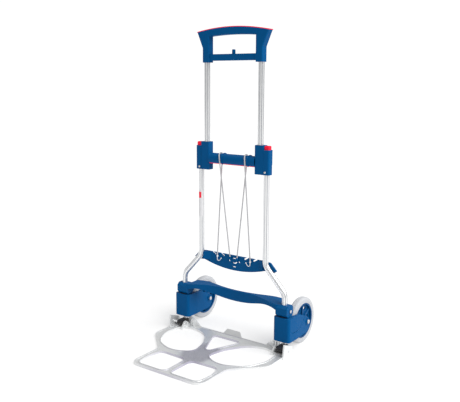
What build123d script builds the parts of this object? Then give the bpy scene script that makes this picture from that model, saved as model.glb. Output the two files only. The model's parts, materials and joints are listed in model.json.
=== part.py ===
"""Folding hand truck: telescopic handle, fold-up toe plate and two wheels that swivel inwards.

Millimetres, X across, Y towards the wheels, Z up. The floor is z = 0 and both pairs of frame
tubes stand in the plane y = 0, so the toe plate reaches out along -Y.
"""
import os
from math import cos, pi, radians, sin

from build123d import *

os.makedirs("parts", exist_ok=True)

SIDES = (("left", -1), ("right", 1))
ALONG = {"X": (0, 90, 0), "Y": (90, 0, 0), "Z": (0, 0, 0)}

# ---------------------------------------------------------------- driving dimensions
total_height = 1100.0
overlap_free = 0.3        # gap between pieces that move past each other
seat_gap = 0.05           # gap between a piece and the seat that it is fixed in
running_gap = 0.05        # radial gap of a shaft in its bush

# frame tubes
tube_dia = 20.0
tube_wall = 1.6
lower_tube_x = 138.0      # narrow upper stretch of the lower tubes
upper_tube_x = 112.0
pivot_x = 217.0           # wide lower stretch, the axis that each fork swivels on
bend_upper_z = 292.0
bend_lower_z = 207.0
bend_radius = 45.0
tube_foot_z = 38.0

# mid blocks with their lock housings
block_inner_x = upper_tube_x - 16.0
block_split_x = lower_tube_x - 6.5
block_outer_x = lower_tube_x + 15.4
block_front_y = -13.0
block_rear_y = 14.2
block_bottom_z = 608.0
block_top_z = 707.0
housing_top_z = block_top_z - 15.0
block_corner = 3.0
tube_socket_depth = 38.0
bush_wall = 2.0
bush_length = 17.0
handle_travel = 270.0

# release button and lock pin
button_width_x = 16.2
button_width_y = 17.2
button_top_z = block_top_z - 1.0
button_travel = 6.0
button_wall = 4.0
lock_pin_dia = 6.0
lock_pin_z = 676.0
lock_pin_length = 17.4
lock_pin_travel = 4.0
spring_dia = 10.0
spring_wire = 1.2

# crossbar and its cords
crossbar_dia = 38.0
crossbar_wall = 3.5
crossbar_z = 649.0
strip_thickness = 2.0
strip_half_angle_width = 11.0   # half the chord of the strip under the bar
rib_height = 3.0
rib_width = 2.5
cord_dia = 4.5
cord_top_outer_x = 62.0
cord_top_inner_x = 45.0
cord_foot_outer_x = 71.0
cord_foot_inner_x = 15.0
cord_foot_z = 297.0
anchor_dia = 9.0
peg_dia = 4.0

# cord board
board_thickness = 5.0
board_top_z = 305.0
board_bottom_mid_z = 250.0
board_knee_x = lower_tube_x - 6.0
board_knee_z = 271.0
wing_x = lower_tube_x + 39.0
wing_low_z = 268.0

# brace between the collars
brace_wall = 4.0
brace_bow = 40.0          # how far the middle of the wall lies behind its ends
collar_front_y = -21.0
collar_inner_x = pivot_x - 24.0
collar_outer_x = pivot_x + 21.0
collar_bottom_z = 130.0
collar_top_z = 170.3
collar_chamfer = 9.0
flange_thickness = 3.0
brace_mid_bottom_z = 133.0
brace_mid_top_z = 172.0
brace_shoulder_top_z = 176.0

# wheels
wheel_dia = 164.4
tyre_width = 26.7
tyre_height = 20.0
rim_width = 24.0
hub_dia = 38.0
wheel_bush_dia = 16.0
axle_dia = 10.0
axle_head_dia = 15.0
axle_y = 112.9
wheel_openings = 6

# swivelling forks
fork_width = 64.0
fork_front_y = -22.0
fork_rear_y = 25.0
fork_bottom_z = 44.0
fork_top_z = 128.0
arm_thickness = 13.0
arm_end_radius = 28.0
washer_dia = 34.0
retainer_dia = 27.0
retainer_height = 3.7

# hinge of the toe plate
hinge_y = -26.0
hinge_z = 18.0
hinge_pin_dia = 8.0
foot_nose_radius = 9.5
foot_width = 24.0
foot_rear_y = 10.0
foot_top_z = 27.0
foot_pin_dia = 13.0

# toe plate
plate_thickness = 8.0
field_thickness = 6.5
lip_width = 4.0
plate_front_y = -376.0
plate_front_half = 145.0
plate_shoulder_y = -238.0
plate_side_x = pivot_x + 28.0
plate_front_corner = 32.0
plate_shoulder_bend = 45.0
plate_side_y = -142.0
plate_rear_y = 4.0
lug_thickness = 6.0
wall_thickness = 5.0
ear_thickness = 4.0
ear_start_x = 133.0
ear_top_z = 40.0
tab_base_half = 42.0
tab_top_half = 27.0
tab_height = 21.0
tab_lean = 24.0

# handle
leg_inner_x = upper_tube_x - 16.4
leg_outer_x = upper_tube_x + 11.4
leg_bottom_z = total_height - 119.0
flare_z = total_height - 70.0
corner_x = 147.0
corner_drop = 14.4        # the ends of the arch lie this far below its middle
handle_depth = 28.0
arch_depth = 27.0
bar_bottom_z = total_height - 113.0
bar_top_z = total_height - 91.0
bar_depth = 20.0
socket_depth = 50.0
handle_rounding = 4.0
grip_thickness = 2.4
hook_dia = 12.0
hook_height = 15.0

# fasteners
screw_shank = 4.0
screw_head = 8.0
screw_head_height = 2.0
bolt_shank = 6.0
bolt_head = 12.0
bolt_head_height = 4.0

# ---------------------------------------------------------------- values that follow
tube_radius = tube_dia / 2
tube_bore = tube_radius - tube_wall
tube_socket_top = block_bottom_z + tube_socket_depth
upper_tube_bottom = block_bottom_z + 10.0
upper_tube_top = leg_bottom_z + socket_depth
slide_radius = tube_radius + overlap_free
bush_radius = slide_radius + bush_wall
pocket_floor = tube_socket_top + 4.0
button_x = (block_split_x + block_outer_x) / 2 - 0.9
button_bottom = lock_pin_z - lock_pin_dia / 2 - button_wall - 5.0
cord_radius = cord_dia / 2
cord_wrap = crossbar_dia / 2 + cord_radius + overlap_free
cord_lean = 1.8           # the strands lean in towards the board below the bar
board_front_y = tube_radius
board_rear_y = board_front_y + board_thickness
anchor_y = board_front_y - anchor_dia / 2
axle_z = wheel_dia / 2
rim_radius = wheel_dia / 2 - tyre_height
arm_inner_half = fork_width / 2 - arm_thickness
fork_bore = tube_radius + overlap_free
arch_top = total_height
arch_radius = (corner_x ** 2 + corner_drop ** 2) / (2 * corner_drop)
arch_centre_z = arch_top - arch_radius


# ---------------------------------------------------------------- helpers
def rod(centre, radius, length, along="Z", mode=Mode.ADD):
    """A round bar or bore about its centre, inside the part being built."""
    with Locations(centre):
        Cylinder(radius, length, rotation=ALONG[along], mode=mode)


def slab(x_span, y_span, z_span, mode=Mode.ADD):
    """A box between two corners, inside the part being built."""
    spans = (x_span, y_span, z_span)
    with Locations(tuple(sum(span) / 2 for span in spans)):
        Box(*(abs(span[1] - span[0]) for span in spans), mode=mode)


def save(builder, name):
    """Label a finished piece and write its file."""
    builder.part.label = name
    export_step(builder.part, f"parts/{name}.step")


def wheel_plane(s):
    """The mid plane of a wheel, looking outwards along its axle."""
    return Plane(origin=(s * pivot_x, axle_y, axle_z), x_dir=(0, 1, 0), z_dir=(s, 0, 0))


def side_plane(x):
    """A plane across X, whose own axes run along Y and Z."""
    return Plane.YZ.offset(x)


# ---------------------------------------------------------------- frame tubes
for side, s in SIDES:
    with BuildPart() as lower_tube:
        with BuildLine() as tube_route:
            FilletPolyline(
                (s * lower_tube_x, 0, tube_socket_top),
                (s * lower_tube_x, 0, bend_upper_z),
                (s * pivot_x, 0, bend_lower_z),
                (s * pivot_x, 0, tube_foot_z),
                radius=bend_radius,
            )
        with BuildSketch(Plane(origin=tube_route.line @ 0, z_dir=tube_route.line % 0)):
            Circle(tube_radius)
            Circle(tube_bore, mode=Mode.SUBTRACT)
        sweep()
        # screw holes: the lock housing in front, the cord board behind
        rod((s * lower_tube_x, -tube_bore, block_bottom_z + 9.0), screw_shank / 2 + seat_gap,
            3 * tube_wall, "Y", Mode.SUBTRACT)
        rod((s * (lower_tube_x + 3.0), tube_bore, board_top_z - 13.0), screw_shank / 2 + seat_gap,
            4 * tube_wall, "Y", Mode.SUBTRACT)
    save(lower_tube, f"lower_tube_{side}")

    with BuildPart() as upper_tube:
        tube_length = upper_tube_top - upper_tube_bottom
        rod((s * upper_tube_x, 0, (upper_tube_top + upper_tube_bottom) / 2), tube_radius, tube_length)
        rod((s * upper_tube_x, 0, (upper_tube_top + upper_tube_bottom) / 2), tube_bore, tube_length,
            mode=Mode.SUBTRACT)
        rod((s * (upper_tube_x + tube_bore), 0, lock_pin_z), lock_pin_dia / 2 + overlap_free,
            4 * tube_wall, "X", Mode.SUBTRACT)
        rod((s * upper_tube_x, tube_bore, leg_bottom_z + 12.0), screw_shank / 2 + seat_gap,
            3 * tube_wall, "Y", Mode.SUBTRACT)
    save(upper_tube, f"upper_tube_{side}")

    plug_flange = 2.0
    with BuildPart() as tube_plug:
        rod((s * upper_tube_x, 0, upper_tube_bottom - plug_flange / 2), tube_radius, plug_flange)
        rod((s * upper_tube_x, 0, upper_tube_bottom + 7.0), tube_bore - seat_gap, 14.0)
        fillet(tube_plug.faces().sort_by(Axis.Z)[0].edges(), 0.8)
    save(tube_plug, f"tube_plug_{side}")

# ---------------------------------------------------------------- mid blocks
for side, s in SIDES:
    with BuildPart() as mid_block:
        slab((s * block_inner_x, s * block_split_x), (block_front_y, block_rear_y),
             (block_bottom_z, block_top_z))
        fillet(mid_block.edges().filter_by(Axis.Z), block_corner)
        fillet(mid_block.faces().sort_by(Axis.Z)[-1].edges(), 1.5)
        rod((s * upper_tube_x, 0, (block_bottom_z + block_top_z) / 2), slide_radius,
            block_top_z - block_bottom_z + 2, mode=Mode.SUBTRACT)
        rod((s * upper_tube_x, 0, block_top_z - bush_length / 2), bush_radius + seat_gap,
            bush_length, mode=Mode.SUBTRACT)
        rod((s * lower_tube_x, 0, block_bottom_z + tube_socket_depth / 2), tube_radius + seat_gap,
            tube_socket_depth, mode=Mode.SUBTRACT)
        rod((s * block_split_x, 0, lock_pin_z), lock_pin_dia / 2 + overlap_free,
            2 * (block_split_x - upper_tube_x), "X", Mode.SUBTRACT)
    save(mid_block, f"mid_block_{side}")

    with BuildPart() as guide_bush:
        rod((s * upper_tube_x, 0, block_top_z - bush_length / 2), bush_radius, bush_length)
        rod((s * upper_tube_x, 0, block_top_z - bush_length / 2), slide_radius, bush_length,
            mode=Mode.SUBTRACT)
    save(guide_bush, f"guide_bush_{side}")

    with BuildPart() as lock_housing:
        slab((s * block_split_x, s * block_outer_x), (block_front_y, block_rear_y),
             (block_bottom_z, housing_top_z))
        outer_edges = lock_housing.edges().filter_by(Axis.Z).group_by(Axis.X)
        fillet(outer_edges[-1 if s > 0 else 0], 2 * block_corner)
        # relief at the lower rear corner
        slab((s * (block_outer_x - 7.0), s * (block_outer_x + 1.0)),
             (block_rear_y - 6.0, block_rear_y + 1.0),
             (block_bottom_z - 1.0, block_bottom_z + 34.0), Mode.SUBTRACT)
        rod((s * lower_tube_x, 0, block_bottom_z + tube_socket_depth / 2), tube_radius + seat_gap,
            tube_socket_depth, mode=Mode.SUBTRACT)
        # pocket of the release button
        slab((s * (button_x - button_width_x / 2 - overlap_free),
              s * (button_x + button_width_x / 2 + overlap_free)),
             (-button_width_y / 2 - overlap_free, button_width_y / 2 + overlap_free),
             (pocket_floor, housing_top_z + 1.0), Mode.SUBTRACT)
        rod((s * block_split_x, 0, lock_pin_z), lock_pin_dia / 2 + overlap_free, 8.0, "X",
            Mode.SUBTRACT)
        rod((s * lower_tube_x, block_front_y, block_bottom_z + 9.0), screw_shank / 2 + seat_gap,
            10.0, "Y", Mode.SUBTRACT)
    save(lock_housing, f"lock_housing_{side}")

    with BuildPart() as release_button:
        slab((s * (button_x - button_width_x / 2), s * (button_x + button_width_x / 2)),
             (-button_width_y / 2, button_width_y / 2), (button_bottom, button_top_z))
        fillet(release_button.faces().sort_by(Axis.Z)[-1].edges(), 3.0)
        # window that straddles the lock pin through the whole press
        slab((s * (button_x - button_width_x), s * (button_x + button_width_x)),
             (-lock_pin_dia / 2 - 1.2, lock_pin_dia / 2 + 1.2),
             (button_bottom + button_wall, lock_pin_z + lock_pin_dia / 2 + button_travel + 1.0),
             Mode.SUBTRACT)
    save(release_button, f"release_button_{side}")

    pin_tip = upper_tube_x + tube_radius + overlap_free + 0.1
    with BuildPart() as lock_pin:
        rod((s * (pin_tip + lock_pin_length / 2), 0, lock_pin_z), lock_pin_dia / 2, lock_pin_length, "X")
        chamfer(lock_pin.edges().filter_by(GeomType.CIRCLE), 0.6)
    save(lock_pin, f"lock_pin_{side}")

    spring_length = button_bottom - pocket_floor
    with BuildPart() as button_spring:
        rod((s * button_x, 0, (pocket_floor + button_bottom) / 2), spring_dia / 2, spring_length)
        rod((s * button_x, 0, (pocket_floor + button_bottom) / 2), spring_dia / 2 - spring_wire,
            spring_length, mode=Mode.SUBTRACT)
    save(button_spring, f"button_spring_{side}")

with BuildPart() as block_screws:
    for side, s in SIDES:
        screw_z = block_bottom_z + 9.0
        rod((s * lower_tube_x, block_front_y - screw_head_height / 2, screw_z), screw_head / 2,
            screw_head_height, "Y")
        rod((s * lower_tube_x, (block_front_y - tube_bore) / 2, screw_z), screw_shank / 2,
            -tube_bore - block_front_y, "Y")
save(block_screws, "block_screws")

# ---------------------------------------------------------------- crossbar and cords
rib_spots = []
for side, s in SIDES:
    front_x = cord_top_inner_x if s < 0 else cord_top_outer_x
    rib_spots.append(s * front_x + cord_dia + rib_width + 1.0)


def strip_section(radius):
    """The sector under the bar that its coloured strip fills, out to a radius."""
    Circle(radius)
    Circle(crossbar_dia / 2 - strip_thickness, mode=Mode.SUBTRACT)
    with Locations((0, -crossbar_dia / 2)):
        Rectangle(2 * strip_half_angle_width, crossbar_dia, mode=Mode.INTERSECT)


with BuildPart() as crossbar:
    with BuildSketch(side_plane(-block_inner_x)):
        Circle(crossbar_dia / 2)
    extrude(amount=2 * block_inner_x)
    for rib_x in rib_spots:
        with BuildSketch(side_plane(rib_x - rib_width / 2)):
            Circle(crossbar_dia / 2 + rib_height)
        extrude(amount=rib_width)
    with BuildSketch(side_plane(-block_inner_x)):
        strip_section(crossbar_dia)
    extrude(amount=2 * block_inner_x, mode=Mode.SUBTRACT)
    with BuildSketch(side_plane(-block_inner_x)):
        Circle(crossbar_dia / 2 - crossbar_wall)
    extrude(amount=2 * block_inner_x, mode=Mode.SUBTRACT)
crossbar.part = crossbar.part.translate((0, 0, crossbar_z))
save(crossbar, "crossbar")

with BuildPart() as crossbar_strip:
    with BuildSketch(side_plane(-block_inner_x)):
        strip_section(crossbar_dia / 2)
    extrude(amount=2 * block_inner_x)
crossbar_strip.part = crossbar_strip.part.translate((0, 0, crossbar_z))
save(crossbar_strip, "crossbar_strip")

for side, s in SIDES:
    # the loop runs up on one side of the bar, over it, and down on the other side
    outer_y = -(cord_wrap + cord_lean) * s
    with BuildPart() as cord:
        with BuildLine() as cord_route:
            FilletPolyline(
                (s * cord_foot_inner_x, anchor_y, cord_foot_z),
                (s * cord_top_inner_x, -outer_y, crossbar_z + cord_wrap),
                (s * cord_top_outer_x, outer_y, crossbar_z + cord_wrap),
                (s * cord_foot_outer_x, anchor_y, cord_foot_z),
                radius=cord_wrap,
            )
        with BuildSketch(Plane(origin=cord_route.line @ 0, z_dir=cord_route.line % 0)):
            Circle(cord_radius)
        sweep()
    cord_length = sum(edge.length for edge in cord_route.edges())
    cord_ratio = cord.part.volume / (pi * cord_radius ** 2 * cord_length)
    print(f"cord {side}: length {cord_length:.1f}, bend radius {cord_wrap:.1f}, volume {cord_ratio:.4f}")
    save(cord, f"cord_{side}")

with BuildPart() as cord_anchors:
    for side, s in SIDES:
        for foot_x in (cord_foot_inner_x, cord_foot_outer_x):
            with Locations((s * foot_x, anchor_y, cord_foot_z - anchor_dia / 2)):
                Sphere(anchor_dia / 2)
            rod((s * foot_x, (anchor_y + board_rear_y) / 2, cord_foot_z - anchor_dia / 2),
                peg_dia / 2, board_rear_y - anchor_y, "Y")
            slab((s * foot_x - anchor_dia, s * foot_x + anchor_dia),
                 (anchor_y - anchor_dia, board_front_y), (cord_foot_z, cord_foot_z + anchor_dia),
                 Mode.SUBTRACT)
save(cord_anchors, "cord_anchors")

# ---------------------------------------------------------------- cord board
with BuildPart() as cord_board:
    with BuildSketch(Plane.XZ.offset(-board_rear_y)):
        with BuildLine():
            Polyline(
                (board_knee_x, board_knee_z),
                (wing_x - 12.0, wing_low_z),
                (wing_x, wing_low_z + 8.0),
                (board_knee_x + 20.0, board_top_z - 3.0),
                (board_knee_x - 4.0, board_top_z),
            )
            mirror(about=Plane.YZ)
            Line((-board_knee_x + 4.0, board_top_z), (board_knee_x - 4.0, board_top_z))
            ThreePointArc((-board_knee_x, board_knee_z), (0, board_bottom_mid_z),
                          (board_knee_x, board_knee_z))
        make_face()
    extrude(amount=board_thickness)
    for side, s in SIDES:
        # ramp that closes the board against the inner side of the tube
        with BuildSketch(Plane.XY.offset(board_knee_z + 4.0)):
            with BuildLine():
                Polyline(
                    (s * (lower_tube_x - tube_radius - seat_gap - 26.0), board_front_y + 0.5),
                    (s * (lower_tube_x - tube_radius - seat_gap), -4.0),
                    (s * (lower_tube_x - tube_radius - seat_gap), board_front_y + 0.5),
                    close=True,
                )
            make_face()
        extrude(amount=board_top_z - board_knee_z - 6.0)
        # eye, notches and peg holes
        rod((s * 21.0, board_front_y, board_top_z - 22.0), 3.5, 4 * board_thickness, "Y", Mode.SUBTRACT)
        for foot_x in (cord_foot_inner_x, cord_foot_outer_x):
            rod((s * foot_x, board_front_y, cord_foot_z - anchor_dia / 2), peg_dia / 2 + seat_gap,
                4 * board_thickness, "Y", Mode.SUBTRACT)
        for notch_x in (50.0, 88.0):
            with BuildSketch(Plane.XZ.offset(-board_rear_y - 1.0)):
                with Locations(Location((s * notch_x, board_top_z - 4.0), 30.0 * s)):
                    SlotOverall(20.0, 5.0)
            extrude(amount=board_thickness + 2.0, mode=Mode.SUBTRACT)
        rod((s * (lower_tube_x + 3.0), board_rear_y, board_top_z - 13.0), screw_shank / 2 + seat_gap,
            4 * board_thickness, "Y", Mode.SUBTRACT)
    # smile-shaped slot, with a short slot above and below it
    with BuildSketch(Plane.XZ.offset(-board_rear_y - 1.0)):
        with Locations((0, board_top_z - 11.0), (0, board_top_z - 42.0)):
            SlotOverall(14.0, 4.0)
        with BuildLine():
            ThreePointArc((-11.0, board_top_z - 22.0), (0, board_top_z - 29.0), (11.0, board_top_z - 22.0))
        trace(line_width=4.0)
    extrude(amount=board_thickness + 2.0, mode=Mode.SUBTRACT)
save(cord_board, "cord_board")

with BuildPart() as board_screws:
    for side, s in SIDES:
        screw_x = s * (lower_tube_x + 3.0)
        rod((screw_x, board_rear_y + screw_head_height / 2, board_top_z - 13.0), screw_head / 2,
            screw_head_height, "Y")
        rod((screw_x, (board_rear_y + tube_bore) / 2, board_top_z - 13.0), screw_shank / 2,
            board_rear_y - tube_bore, "Y")
save(board_screws, "board_screws")

# ---------------------------------------------------------------- cross brace
collar_rear_y = -collar_front_y
brace_end_y = collar_front_y + 1.0
brace_mid_y = brace_end_y + brace_bow


def bowed(shift):
    """The bowed run of the brace wall in plan, moved back by a shift."""
    return [
        (-collar_inner_x - 2.0, brace_end_y + shift),
        (-0.7 * collar_inner_x, brace_end_y + 0.36 * brace_bow + shift),
        (-0.45 * collar_inner_x, brace_end_y + 0.76 * brace_bow + shift),
        (0, brace_mid_y + shift),
        (0.45 * collar_inner_x, brace_end_y + 0.76 * brace_bow + shift),
        (0.7 * collar_inner_x, brace_end_y + 0.36 * brace_bow + shift),
        (collar_inner_x + 2.0, brace_end_y + shift),
    ]


with BuildPart() as cross_brace:
    wall_floor = brace_mid_bottom_z - 20.0
    with BuildSketch(Plane.XY.offset(wall_floor)):
        with BuildLine():
            Spline(*bowed(0))
            Spline(*bowed(brace_wall))
            for side, s in SIDES:
                Line((s * (collar_inner_x + 2.0), brace_end_y),
                     (s * (collar_inner_x + 2.0), brace_end_y + brace_wall))
        make_face()
    extrude(amount=90.0)
    # the wall seen from the front: arched top edge, deep in the middle
    with BuildSketch(Plane.XZ.offset(-100.0)):
        with BuildLine():
            Spline((-collar_inner_x - 2.0, collar_top_z), (-0.7 * collar_inner_x, brace_shoulder_top_z),
                   (0, brace_mid_top_z), (0.7 * collar_inner_x, brace_shoulder_top_z),
                   (collar_inner_x + 2.0, collar_top_z))
            Spline((-collar_inner_x - 2.0, 150.0), (-0.83 * collar_inner_x, 158.0),
                   (-0.36 * collar_inner_x, 140.0), (0, brace_mid_bottom_z),
                   (0.36 * collar_inner_x, 140.0), (0.83 * collar_inner_x, 158.0),
                   (collar_inner_x + 2.0, 150.0))
            for side, s in SIDES:
                Line((s * (collar_inner_x + 2.0), 150.0), (s * (collar_inner_x + 2.0), collar_top_z))
        make_face()
    extrude(amount=200.0, mode=Mode.INTERSECT)
    # flange along the top, wide over the folded wheels
    with BuildSketch(Plane.XY.offset(collar_top_z - flange_thickness)):
        with BuildLine():
            Spline(*bowed(0))
            Spline((-collar_inner_x - 2.0, 46.0), (-0.78 * collar_inner_x, 55.0),
                   (-0.45 * collar_inner_x, 42.0), (0, brace_mid_y + 12.0),
                   (0.45 * collar_inner_x, 42.0), (0.78 * collar_inner_x, 55.0),
                   (collar_inner_x + 2.0, 46.0))
            for side, s in SIDES:
                Line((s * (collar_inner_x + 2.0), brace_end_y), (s * (collar_inner_x + 2.0), 46.0))
        make_face()
    extrude(amount=flange_thickness)
    for side, s in SIDES:
        with BuildSketch(side_plane(s * collar_inner_x)):
            with Locations((0, (collar_bottom_z + collar_top_z) / 2)):
                collar_face = Rectangle(collar_rear_y - collar_front_y, collar_top_z - collar_bottom_z)
            chamfer(collar_face.vertices(), collar_chamfer)
        extrude(amount=s * (collar_outer_x - collar_inner_x))
        rod((s * pivot_x, 0, (collar_bottom_z + collar_top_z) / 2), tube_radius + seat_gap,
            collar_top_z, mode=Mode.SUBTRACT)
        rod((s * collar_outer_x, 0, (collar_bottom_z + collar_top_z) / 2), bolt_shank / 2 + seat_gap,
            2 * (collar_outer_x - pivot_x - tube_radius), "X", Mode.SUBTRACT)
save(cross_brace, "cross_brace")

with BuildPart() as collar_bolts:
    for side, s in SIDES:
        bolt_z = (collar_bottom_z + collar_top_z) / 2
        with BuildSketch(side_plane(s * collar_outer_x)):
            with Locations((0, bolt_z)):
                RegularPolygon(bolt_head / 2, 6)
        extrude(amount=s * bolt_head_height)
        bolt_seat = pivot_x + tube_radius + seat_gap
        rod((s * (collar_outer_x + bolt_seat) / 2, 0, bolt_z), bolt_shank / 2,
            collar_outer_x - bolt_seat, "X")
save(collar_bolts, "collar_bolts")

with BuildPart() as fork_washers:
    for side, s in SIDES:
        washer_bottom = fork_top_z + overlap_free
        rod((s * pivot_x, 0, (washer_bottom + collar_bottom_z) / 2), washer_dia / 2,
            collar_bottom_z - washer_bottom)
        rod((s * pivot_x, 0, collar_bottom_z), tube_radius + seat_gap, 20.0, mode=Mode.SUBTRACT)
save(fork_washers, "fork_washers")

with BuildPart() as fork_retainers:
    for side, s in SIDES:
        retainer_mid = fork_bottom_z - overlap_free - retainer_height / 2
        rod((s * pivot_x, 0, retainer_mid), retainer_dia / 2, retainer_height)
        rod((s * pivot_x, 0, retainer_mid), tube_radius + seat_gap, 2 * retainer_height,
            mode=Mode.SUBTRACT)
save(fork_retainers, "fork_retainers")

# ---------------------------------------------------------------- forks, axles and wheels
for side, s in SIDES:
    with BuildPart() as wheel_fork:
        with BuildSketch(side_plane(s * (pivot_x - fork_width / 2))):
            with Locations(((fork_front_y + fork_rear_y) / 2, (fork_bottom_z + fork_top_z) / 2)):
                Rectangle(fork_rear_y - fork_front_y, fork_top_z - fork_bottom_z)
            with Locations((axle_y - 9.0, fork_bottom_z + arm_end_radius)):
                Circle(arm_end_radius)
            with Locations(((axle_y + fork_rear_y) / 2 - 12.0, fork_top_z - 16.0)):
                Circle(12.0)
            make_hull()
        extrude(amount=s * fork_width)
        front_edges = wheel_fork.edges().filter_by(Axis.Z).group_by(Axis.Y)[0]
        fillet(front_edges, 10.0)
        # well for the wheel
        slab((s * (pivot_x - arm_inner_half), s * (pivot_x + arm_inner_half)),
             (fork_rear_y, axle_y + 60.0), (0, fork_top_z + 10.0), Mode.SUBTRACT)
        # both arms taper towards the axle
        for flank in (-1, 1):
            face_x = pivot_x + flank * fork_width / 2
            with BuildSketch(Plane.XY):
                with BuildLine():
                    Polyline((s * face_x, fork_rear_y + 5.0), (s * (face_x - flank * 6.0), axle_y + 30.0),
                             (s * (face_x + flank * 6.0), axle_y + 30.0), close=True)
                make_face()
            extrude(amount=fork_top_z + 10.0, mode=Mode.SUBTRACT)
            rod((s * (pivot_x + flank * (fork_width / 2 - 1.0 - arm_thickness / 2)), axle_y, axle_z), 12.0,
                arm_thickness - 2.0, "X")
            rod((s * (pivot_x + flank * arm_inner_half), axle_y, axle_z), axle_dia / 2 + seat_gap,
                4 * arm_thickness, "X", Mode.SUBTRACT)
        # curved crease on the outer arm
        with BuildSketch(side_plane(s * (pivot_x + fork_width / 2 - 4.6))):
            with BuildLine():
                ThreePointArc((2.0, 74.0), (56.0, 79.0), (94.0, 110.0))
            trace(line_width=2.2)
        extrude(amount=s * 10.0, mode=Mode.SUBTRACT)
        rod((s * pivot_x, 0, (fork_bottom_z + fork_top_z) / 2), fork_bore,
            fork_top_z, mode=Mode.SUBTRACT)
    save(wheel_fork, f"wheel_fork_{side}")

    head_face = fork_width / 2 - 1.0
    with BuildPart() as axle:
        rod((s * pivot_x, axle_y, axle_z), axle_dia / 2, 2 * head_face + 10.0, "X")
        rod((s * (pivot_x + head_face + 1.5), axle_y, axle_z), axle_head_dia / 2, 3.0, "X")
        slab((s * (pivot_x + head_face + 3.0), s * (pivot_x + head_face + 20.0)),
             (axle_y - 20, axle_y + 20), (axle_z - 20, axle_z + 20), Mode.SUBTRACT)
        fillet(axle.faces().sort_by(Axis.X)[-1 if s > 0 else 0].edges(), 1.2)
    save(axle, f"axle_{side}")

    with BuildPart() as axle_nut:
        with BuildSketch(side_plane(s * (pivot_x - head_face))):
            with Locations((axle_y, axle_z)):
                RegularPolygon(axle_head_dia / 2, 6)
                Circle(axle_dia / 2 + seat_gap, mode=Mode.SUBTRACT)
        extrude(amount=-s * 4.5)
    save(axle_nut, f"axle_nut_{side}")

    with BuildPart() as rim:
        with BuildSketch(wheel_plane(s)):
            Circle(rim_radius)
            Circle(rim_radius - 5.0, mode=Mode.SUBTRACT)
        extrude(amount=rim_width / 2, both=True)
        with BuildSketch(wheel_plane(s)):
            Circle(rim_radius - 3.0)
            with PolarLocations((rim_radius + hub_dia / 2) / 2 + 3.0, wheel_openings):
                SlotOverall(18.0, 11.0, rotation=90, mode=Mode.SUBTRACT)
        extrude(amount=3.0, both=True)
        with BuildSketch(wheel_plane(s)):
            Circle(hub_dia / 2)
        extrude(amount=arm_inner_half - overlap_free, both=True)
        with BuildSketch(wheel_plane(s)):
            with PolarLocations((rim_radius + hub_dia / 2) / 2 - 2.0, wheel_openings,
                                start_angle=180 / wheel_openings):
                Rectangle(rim_radius - hub_dia / 2, 5.0)
        extrude(amount=8.0, both=True)
        with BuildSketch(wheel_plane(s)):
            Circle(wheel_bush_dia / 2 + seat_gap)
        extrude(amount=arm_inner_half, both=True, mode=Mode.SUBTRACT)
    save(rim, f"rim_{side}")

    with BuildPart() as wheel_bush:
        with BuildSketch(wheel_plane(s)):
            Circle(wheel_bush_dia / 2)
            Circle(axle_dia / 2 + running_gap, mode=Mode.SUBTRACT)
        extrude(amount=arm_inner_half - overlap_free, both=True)
    save(wheel_bush, f"wheel_bush_{side}")

    with BuildPart() as tyre:
        with BuildSketch(wheel_plane(s)):
            Circle(wheel_dia / 2)
            Circle(rim_radius + seat_gap, mode=Mode.SUBTRACT)
        extrude(amount=tyre_width / 2, both=True)
        fillet(tyre.edges().filter_by(GeomType.CIRCLE).group_by(SortBy.RADIUS)[-1], 9.0)
    save(tyre, f"tyre_{side}")

# ---------------------------------------------------------------- hinge feet
for side, s in SIDES:
    with BuildPart() as hinge_foot:
        with BuildSketch(side_plane(s * (pivot_x - foot_width / 2))):
            with Locations((hinge_y, hinge_z)):
                Circle(foot_nose_radius)
            foot_floor = hinge_z - foot_nose_radius
            with Locations((0, (foot_floor + foot_top_z) / 2)):
                Rectangle(2 * foot_rear_y, foot_top_z - foot_floor)
            make_hull()
        extrude(amount=s * foot_width)
        rod((s * pivot_x, hinge_y, hinge_z), hinge_pin_dia / 2 + running_gap, foot_width + 2, "X",
            Mode.SUBTRACT)
        rod((s * pivot_x, 0, foot_top_z), foot_pin_dia / 2 + seat_gap, 28.0, mode=Mode.SUBTRACT)
    save(hinge_foot, f"hinge_foot_{side}")

    with BuildPart() as foot_pin:
        pin_bottom = foot_top_z - 14.0
        rod((s * pivot_x, 0, (pin_bottom + tube_foot_z) / 2), foot_pin_dia / 2, tube_foot_z - pin_bottom)
        rod((s * pivot_x, 0, tube_foot_z + 15.0), tube_bore - seat_gap, 30.0)
    save(foot_pin, f"foot_pin_{side}")

pin_inner_x = pivot_x - foot_width / 2 - lug_thickness - 5.0
pin_outer_x = plate_side_x + wall_thickness
with BuildPart() as hinge_pins:
    for side, s in SIDES:
        rod((s * (pin_inner_x + pin_outer_x) / 2, hinge_y, hinge_z), hinge_pin_dia / 2,
            pin_outer_x - pin_inner_x, "X")
save(hinge_pins, "hinge_pins")

# ---------------------------------------------------------------- toe plate
with BuildSketch() as plate_outline:
    with BuildLine():
        Polyline((plate_front_half, plate_front_y), (plate_front_half, plate_shoulder_y),
                 (plate_side_x, plate_side_y), (plate_side_x, plate_rear_y))
        mirror(about=Plane.YZ)
        Line((-plate_front_half, plate_front_y), (plate_front_half, plate_front_y))
        Line((-plate_side_x, plate_rear_y), (plate_side_x, plate_rear_y))
    make_face()
    fillet(plate_outline.vertices().group_by(Axis.Y)[0], plate_front_corner)
    fillet(plate_outline.vertices().filter_by_position(Axis.Y, plate_shoulder_y - 1, plate_side_y + 1),
           plate_shoulder_bend)

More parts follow.
